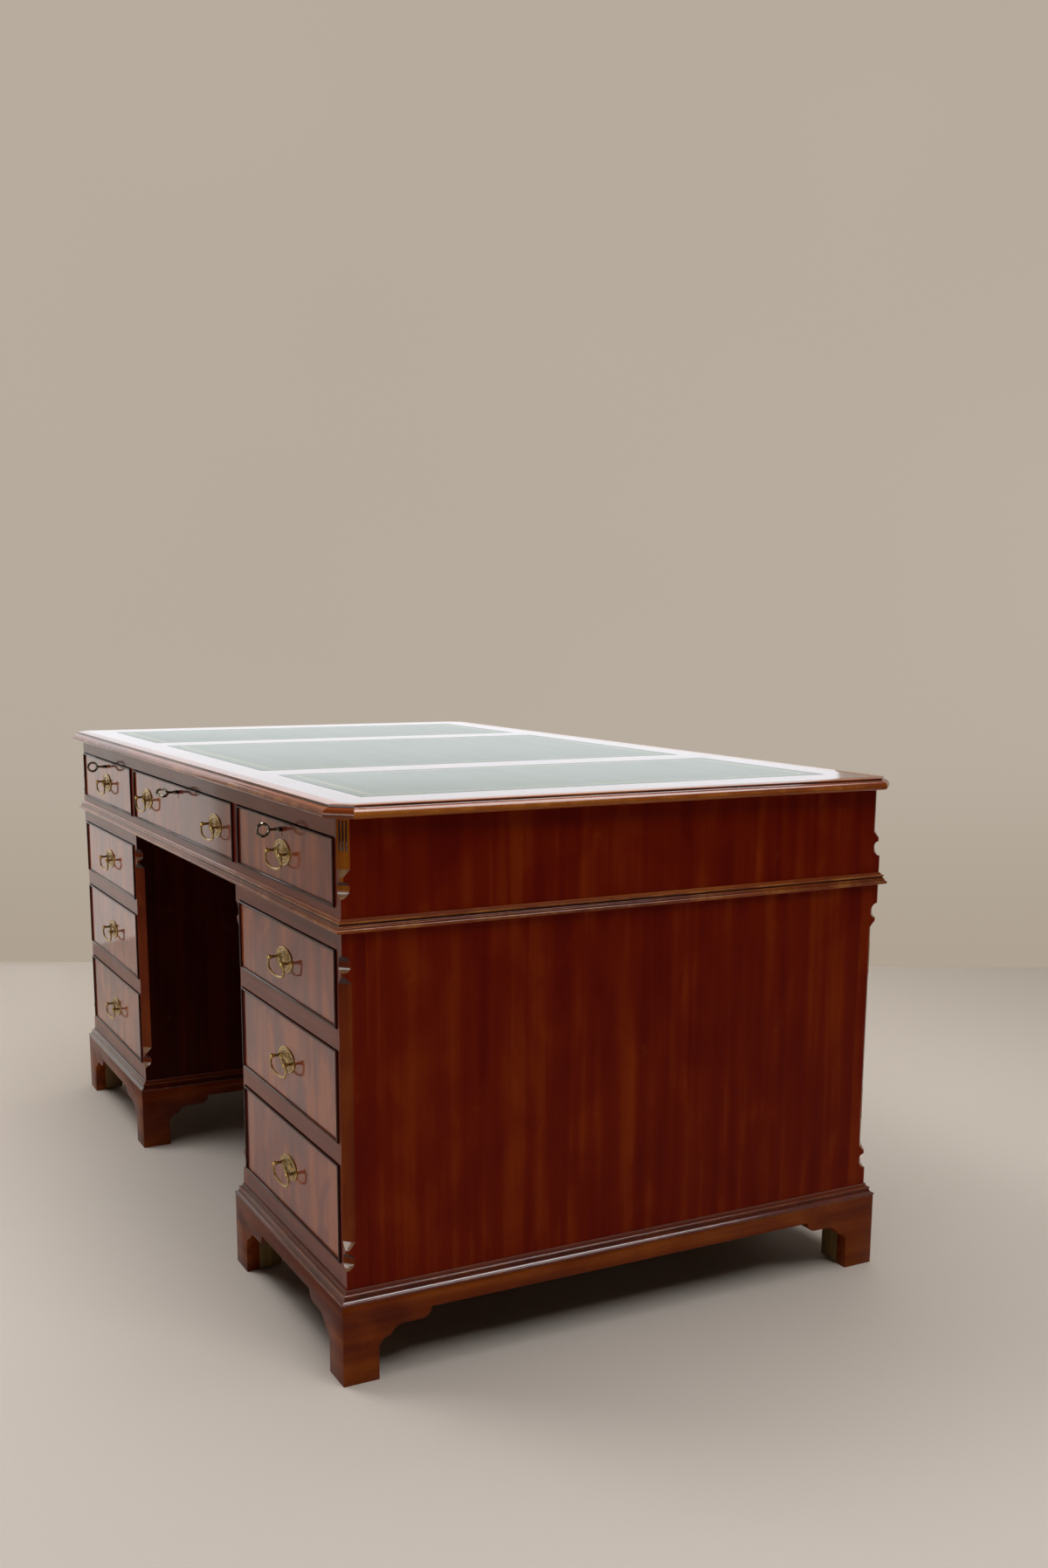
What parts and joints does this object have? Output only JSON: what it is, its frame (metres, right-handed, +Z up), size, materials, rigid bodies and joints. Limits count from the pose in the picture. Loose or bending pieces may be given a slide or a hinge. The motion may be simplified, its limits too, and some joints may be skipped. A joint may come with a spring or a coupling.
{
  "type": "partners desk",
  "caption": "Pedestal partners desk with a leather-lined top, frieze and pedestal drawers on bail handles, rear cupboards and bracket plinths.",
  "frame": {"origin": "on the floor under the middle of the desk, midway between its ends and its two long sides", "axes": "+X towards the right-hand end, seen from the side with the pedestal drawers; +Y towards the side with the cupboards; +Z up"},
  "size_m": [1.53, 0.9263, 0.766],
  "materials": {
    "mahogany_veneer": "gloss french polish over red-brown mahogany veneer",
    "green_leather": "waxed green hide with a tooled line",
    "antique_brass": "aged brass, darkened in the hollows",
    "dark_steel": "darkened steel"
  },
  "bodies": {
    "desk": {"top_board": "mahogany_veneer", "top_lipping": "mahogany_veneer", "leather_panels": "green_leather", "frieze_panels": "mahogany_veneer", "corner_posts": "mahogany_veneer", "frieze_rails": "mahogany_veneer", "pedestal_panels": "mahogany_veneer", "pedestal_rails": "mahogany_veneer", "drawer_runners": "mahogany_veneer", "bracket_plinths": "mahogany_veneer", "carcass_mouldings": "mahogany_veneer", "post_hinge_leaves": "antique_brass"},
    "front_left_frieze_drawer": {"front_left_frieze_drawer": "mahogany_veneer", "front_left_frieze_drawer_brass": "antique_brass"},
    "front_centre_frieze_drawer": {"front_centre_frieze_drawer": "mahogany_veneer", "front_centre_frieze_drawer_brass": "antique_brass"},
    "front_right_frieze_drawer": {"front_right_frieze_drawer": "mahogany_veneer", "front_right_frieze_drawer_brass": "antique_brass"},
    "rear_left_frieze_drawer": {"rear_left_frieze_drawer": "mahogany_veneer", "rear_left_frieze_drawer_brass": "antique_brass"},
    "rear_centre_frieze_drawer": {"rear_centre_frieze_drawer": "mahogany_veneer", "rear_centre_frieze_drawer_brass": "antique_brass"},
    "rear_right_frieze_drawer": {"rear_right_frieze_drawer": "mahogany_veneer", "rear_right_frieze_drawer_brass": "antique_brass"},
    "left_upper_drawer": {"left_upper_drawer": "mahogany_veneer", "left_upper_drawer_brass": "antique_brass"},
    "left_middle_drawer": {"left_middle_drawer": "mahogany_veneer", "left_middle_drawer_brass": "antique_brass"},
    "left_lower_drawer": {"left_lower_drawer": "mahogany_veneer", "left_lower_drawer_brass": "antique_brass"},
    "right_upper_drawer": {"right_upper_drawer": "mahogany_veneer", "right_upper_drawer_brass": "antique_brass"},
    "right_middle_drawer": {"right_middle_drawer": "mahogany_veneer", "right_middle_drawer_brass": "antique_brass"},
    "right_lower_drawer": {"right_lower_drawer": "mahogany_veneer", "right_lower_drawer_brass": "antique_brass"},
    "left_upper_bail": {"left_upper_bail": "antique_brass"},
    "left_middle_bail": {"left_middle_bail": "antique_brass"},
    "left_lower_bail": {"left_lower_bail": "antique_brass"},
    "right_upper_bail": {"right_upper_bail": "antique_brass"},
    "right_middle_bail": {"right_middle_bail": "antique_brass"},
    "right_lower_bail": {"right_lower_bail": "antique_brass"},
    "front_left_bail": {"front_left_bail": "antique_brass"},
    "front_centre_left_bail": {"front_centre_left_bail": "antique_brass"},
    "front_centre_right_bail": {"front_centre_right_bail": "antique_brass"},
    "front_right_bail": {"front_right_bail": "antique_brass"},
    "rear_left_bail": {"rear_left_bail": "antique_brass"},
    "rear_centre_left_bail": {"rear_centre_left_bail": "antique_brass"},
    "rear_centre_right_bail": {"rear_centre_right_bail": "antique_brass"},
    "rear_right_bail": {"rear_right_bail": "antique_brass"},
    "left_cupboard_door": {"left_cupboard_door": "mahogany_veneer", "left_cupboard_door_brass": "antique_brass"},
    "right_cupboard_door": {"right_cupboard_door": "mahogany_veneer", "right_cupboard_door_brass": "antique_brass"},
    "left_key": {"left_key": "dark_steel"},
    "left_lock_bolt": {"left_lock_bolt": "dark_steel"},
    "centre_key": {"centre_key": "dark_steel"},
    "centre_lock_bolt": {"centre_lock_bolt": "dark_steel"},
    "right_key": {"right_key": "dark_steel"},
    "right_lock_bolt": {"right_lock_bolt": "dark_steel"}
  },
  "joints": [
    {"name": "front_left_frieze_drawer_slide", "type": "slide", "parent": "desk", "child": "front_left_frieze_drawer", "axis": [0, -1, 0], "range_m": [0, 0.3]},
    {"name": "front_centre_frieze_drawer_slide", "type": "slide", "parent": "desk", "child": "front_centre_frieze_drawer", "axis": [0, -1, 0], "range_m": [0, 0.3]},
    {"name": "front_right_frieze_drawer_slide", "type": "slide", "parent": "desk", "child": "front_right_frieze_drawer", "axis": [0, -1, 0], "range_m": [0, 0.3]},
    {"name": "rear_left_frieze_drawer_slide", "type": "slide", "parent": "desk", "child": "rear_left_frieze_drawer", "axis": [0, 1, 0], "range_m": [0, 0.3]},
    {"name": "rear_centre_frieze_drawer_slide", "type": "slide", "parent": "desk", "child": "rear_centre_frieze_drawer", "axis": [0, 1, 0], "range_m": [0, 0.3]},
    {"name": "rear_right_frieze_drawer_slide", "type": "slide", "parent": "desk", "child": "rear_right_frieze_drawer", "axis": [0, 1, 0], "range_m": [0, 0.3]},
    {"name": "left_upper_drawer_slide", "type": "slide", "parent": "desk", "child": "left_upper_drawer", "axis": [0, -1, 0], "range_m": [0, 0.3]},
    {"name": "left_middle_drawer_slide", "type": "slide", "parent": "desk", "child": "left_middle_drawer", "axis": [0, -1, 0], "range_m": [0, 0.3]},
    {"name": "left_lower_drawer_slide", "type": "slide", "parent": "desk", "child": "left_lower_drawer", "axis": [0, -1, 0], "range_m": [0, 0.3]},
    {"name": "right_upper_drawer_slide", "type": "slide", "parent": "desk", "child": "right_upper_drawer", "axis": [0, -1, 0], "range_m": [0, 0.3]},
    {"name": "right_middle_drawer_slide", "type": "slide", "parent": "desk", "child": "right_middle_drawer", "axis": [0, -1, 0], "range_m": [0, 0.3]},
    {"name": "right_lower_drawer_slide", "type": "slide", "parent": "desk", "child": "right_lower_drawer", "axis": [0, -1, 0], "range_m": [0, 0.3]},
    {"name": "left_upper_bail_swing", "type": "hinge", "parent": "left_upper_drawer", "child": "left_upper_bail", "pos_m": [-0.5235, -0.4445, 0.528], "axis": [-1, 0, 0], "range_deg": [0, 110]},
    {"name": "left_middle_bail_swing", "type": "hinge", "parent": "left_middle_drawer", "child": "left_middle_bail", "pos_m": [-0.5235, -0.4445, 0.38525], "axis": [-1, 0, 0], "range_deg": [0, 110]},
    {"name": "left_lower_bail_swing", "type": "hinge", "parent": "left_lower_drawer", "child": "left_lower_bail", "pos_m": [-0.5235, -0.4445, 0.2265], "axis": [-1, 0, 0], "range_deg": [0, 110]},
    {"name": "right_upper_bail_swing", "type": "hinge", "parent": "right_upper_drawer", "child": "right_upper_bail", "pos_m": [0.5235, -0.4445, 0.528], "axis": [-1, 0, 0], "range_deg": [0, 110]},
    {"name": "right_middle_bail_swing", "type": "hinge", "parent": "right_middle_drawer", "child": "right_middle_bail", "pos_m": [0.5235, -0.4445, 0.38525], "axis": [-1, 0, 0], "range_deg": [0, 110]},
    {"name": "right_lower_bail_swing", "type": "hinge", "parent": "right_lower_drawer", "child": "right_lower_bail", "pos_m": [0.5235, -0.4445, 0.2265], "axis": [-1, 0, 0], "range_deg": [0, 110]},
    {"name": "front_left_bail_swing", "type": "hinge", "parent": "front_left_frieze_drawer", "child": "front_left_bail", "pos_m": [-0.5235, -0.4445, 0.67825], "axis": [-1, 0, 0], "range_deg": [0, 110]},
    {"name": "front_centre_left_bail_swing", "type": "hinge", "parent": "front_centre_frieze_drawer", "child": "front_centre_left_bail", "pos_m": [-0.208, -0.4445, 0.67825], "axis": [-1, 0, 0], "range_deg": [0, 110]},
    {"name": "front_centre_right_bail_swing", "type": "hinge", "parent": "front_centre_frieze_drawer", "child": "front_centre_right_bail", "pos_m": [0.208, -0.4445, 0.67825], "axis": [-1, 0, 0], "range_deg": [0, 110]},
    {"name": "front_right_bail_swing", "type": "hinge", "parent": "front_right_frieze_drawer", "child": "front_right_bail", "pos_m": [0.5235, -0.4445, 0.67825], "axis": [-1, 0, 0], "range_deg": [0, 110]},
    {"name": "rear_left_bail_swing", "type": "hinge", "parent": "rear_left_frieze_drawer", "child": "rear_left_bail", "pos_m": [-0.5235, 0.4445, 0.67825], "axis": [1, 0, 0], "range_deg": [0, 110]},
    {"name": "rear_centre_left_bail_swing", "type": "hinge", "parent": "rear_centre_frieze_drawer", "child": "rear_centre_left_bail", "pos_m": [-0.208, 0.4445, 0.67825], "axis": [1, 0, 0], "range_deg": [0, 110]},
    {"name": "rear_centre_right_bail_swing", "type": "hinge", "parent": "rear_centre_frieze_drawer", "child": "rear_centre_right_bail", "pos_m": [0.208, 0.4445, 0.67825], "axis": [1, 0, 0], "range_deg": [0, 110]},
    {"name": "rear_right_bail_swing", "type": "hinge", "parent": "rear_right_frieze_drawer", "child": "rear_right_bail", "pos_m": [0.5235, 0.4445, 0.67825], "axis": [1, 0, 0], "range_deg": [0, 110]},
    {"name": "left_cupboard_door_swing", "type": "hinge", "parent": "desk", "child": "left_cupboard_door", "pos_m": [-0.7223, 0.4347, 0.36925], "axis": [0, 0, 1], "range_deg": [0, 110]},
    {"name": "right_cupboard_door_swing", "type": "hinge", "parent": "desk", "child": "right_cupboard_door", "pos_m": [0.7223, 0.4347, 0.36925], "axis": [0, 0, -1], "range_deg": [0, 110]},
    {"name": "left_key_turn", "type": "hinge", "parent": "front_left_frieze_drawer", "child": "left_key", "pos_m": [-0.5235, -0.4315, 0.71], "axis": [0, -1, 0], "range_deg": [-0.2, 180.2]},
    {"name": "left_bolt_throw", "type": "slide", "parent": "front_left_frieze_drawer", "child": "left_lock_bolt", "axis": [0, 0, 1], "range_m": [0, 0.008]},
    {"name": "centre_key_turn", "type": "hinge", "parent": "front_centre_frieze_drawer", "child": "centre_key", "pos_m": [0, -0.4315, 0.71], "axis": [0, -1, 0], "range_deg": [-50.2, 130.2]},
    {"name": "centre_bolt_throw", "type": "slide", "parent": "front_centre_frieze_drawer", "child": "centre_lock_bolt", "axis": [0, 0, 1], "range_m": [-0.00222, 0.00578]},
    {"name": "right_key_turn", "type": "hinge", "parent": "front_right_frieze_drawer", "child": "right_key", "pos_m": [0.5235, -0.4315, 0.71], "axis": [0, -1, 0], "range_deg": [-0.2, 180.2]},
    {"name": "right_bolt_throw", "type": "slide", "parent": "front_right_frieze_drawer", "child": "right_lock_bolt", "axis": [0, 0, 1], "range_m": [0, 0.008]}
  ],
  "couplings": [
    {"joint": "left_key_turn", "follows": "left_bolt_throw", "rad_per_m": 392.7},
    {"joint": "centre_key_turn", "follows": "centre_bolt_throw", "rad_per_m": 392.7},
    {"joint": "right_key_turn", "follows": "right_bolt_throw", "rad_per_m": 392.7}
  ]
}
